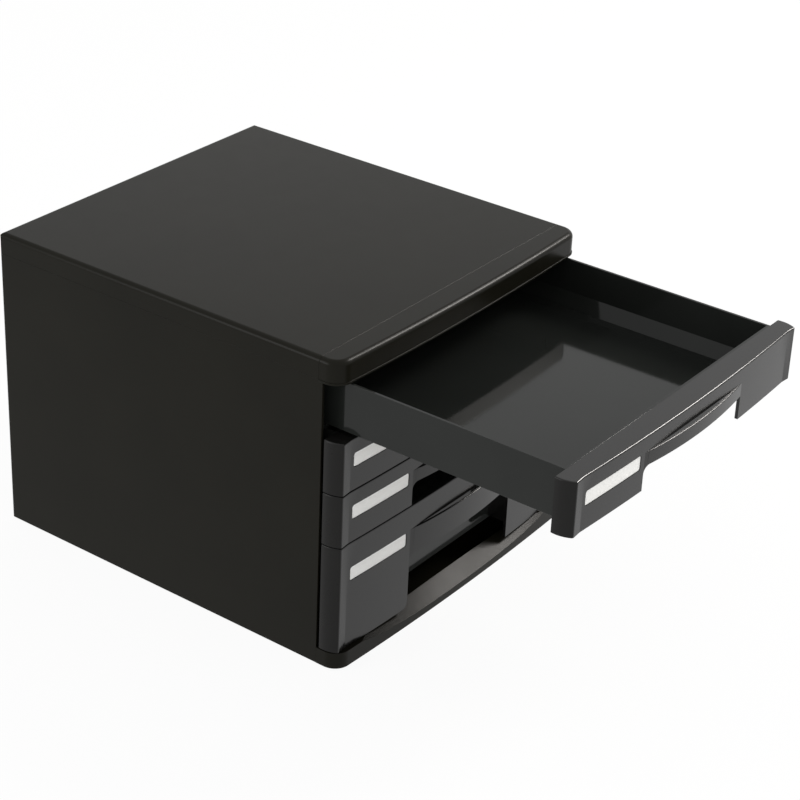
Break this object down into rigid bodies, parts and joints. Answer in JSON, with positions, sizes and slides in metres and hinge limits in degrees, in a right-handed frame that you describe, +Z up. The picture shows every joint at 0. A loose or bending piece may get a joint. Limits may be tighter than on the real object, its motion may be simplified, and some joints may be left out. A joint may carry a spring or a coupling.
{
  "type": "letter tray stack with drawers",
  "caption": "Desktop cabinet of sliding letter trays with bowed grip fronts, label recesses and a rounded visor over a deep bottom drawer.",
  "frame": {"origin": "middle of the closed cabinet's footprint, on the desk, at the underside of the feet", "axes": "+X to the right seen from the front, drawers open towards -Y, +Z up"},
  "size_m": [0.301, 0.5297, 0.2536],
  "materials": {
    "casing": "fine satin moulded grain, black",
    "drawer_fronts": "satin moulded plastic, black",
    "inner_plastic": "smooth moulded plastic, black",
    "label_card": "plain white card",
    "rubber_feet": "plain black rubber"
  },
  "bodies": {
    "cabinet": {"base_plate": "casing", "left_side_panel": "casing", "right_side_panel": "casing", "back_panel": "casing", "top_cover": "casing", "front_visor": "casing", "left_guide_frame": "inner_plastic", "right_guide_frame": "inner_plastic", "front_left_foot": "rubber_feet", "front_right_foot": "rubber_feet", "rear_left_foot": "rubber_feet", "rear_right_foot": "rubber_feet"},
    "drawer_1": {"drawer_1_tray": "inner_plastic", "drawer_1_front": "drawer_fronts", "drawer_1_label_card": "label_card"},
    "drawer_2": {"drawer_2_tray": "inner_plastic", "drawer_2_front": "drawer_fronts", "drawer_2_label_card": "label_card"},
    "drawer_3": {"drawer_3_tray": "inner_plastic", "drawer_3_front": "drawer_fronts", "drawer_3_label_card": "label_card"},
    "drawer_4": {"drawer_4_tray": "inner_plastic", "drawer_4_front": "drawer_fronts", "drawer_4_label_card": "label_card"}
  },
  "joints": [
    {"name": "drawer_1_slide", "type": "slide", "parent": "cabinet", "child": "drawer_1", "axis": [0, -1, 0], "range_m": [-0.189, 0.031]},
    {"name": "drawer_2_slide", "type": "slide", "parent": "cabinet", "child": "drawer_2", "axis": [0, -1, 0], "range_m": [0, 0.22]},
    {"name": "drawer_3_slide", "type": "slide", "parent": "cabinet", "child": "drawer_3", "axis": [0, -1, 0], "range_m": [0, 0.22]},
    {"name": "drawer_4_slide", "type": "slide", "parent": "cabinet", "child": "drawer_4", "axis": [0, -1, 0], "range_m": [0, 0.22]}
  ]
}
